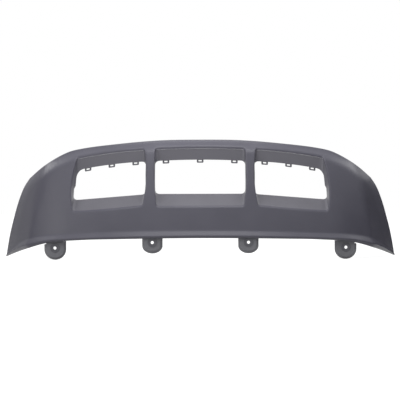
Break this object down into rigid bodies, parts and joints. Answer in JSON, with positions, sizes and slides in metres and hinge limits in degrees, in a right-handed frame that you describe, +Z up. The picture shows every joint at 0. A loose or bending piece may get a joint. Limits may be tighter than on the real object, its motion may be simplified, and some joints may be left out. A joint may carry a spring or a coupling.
{
  "type": "bumper cover",
  "caption": "Wide lower front bumper cover in dark grained plastic, with a row of grille windows, snap loops for inserts, a flared lower lip and mounting tabs beneath it.",
  "frame": {"origin": "on the floor, under the middle of the part's bounding box; the part stands on its wing tips and outer tabs", "axes": "+X along the width, to the right as seen from the front; +Y from the front face back to the wing edges; +Z up"},
  "size_m": [1.3632, 0.3054, 0.398],
  "materials": {
    "grained_polypropylene": "moulded, fine leather grain, semi-matte",
    "smooth_polypropylene": "moulded, smooth, semi-matte",
    "tab_polypropylene": "moulded, smooth, matte",
    "sleeve_nylon": "moulded, satin"
  },
  "bodies": {
    "root": {"fascia_skin": "grained_polypropylene", "window_surround_centre": "smooth_polypropylene", "window_surround_left": "smooth_polypropylene", "window_surround_right": "smooth_polypropylene", "snap_loop_centre_left": "smooth_polypropylene", "snap_loop_centre_middle": "smooth_polypropylene", "snap_loop_centre_right": "smooth_polypropylene", "snap_loop_left_inner": "smooth_polypropylene", "snap_loop_left_middle": "smooth_polypropylene", "snap_loop_left_outer": "smooth_polypropylene", "snap_loop_right_inner": "smooth_polypropylene", "snap_loop_right_middle": "smooth_polypropylene", "snap_loop_right_outer": "smooth_polypropylene", "mounting_tab_left_inner": "tab_polypropylene", "tab_sleeve_left_inner": "sleeve_nylon", "mounting_tab_left_outer": "tab_polypropylene", "tab_sleeve_left_outer": "sleeve_nylon", "mounting_tab_right_inner": "tab_polypropylene", "tab_sleeve_right_inner": "sleeve_nylon", "mounting_tab_right_outer": "tab_polypropylene", "tab_sleeve_right_outer": "sleeve_nylon", "wing_flange_left": "tab_polypropylene", "wing_flange_right": "tab_polypropylene"}
  },
  "joints": []
}
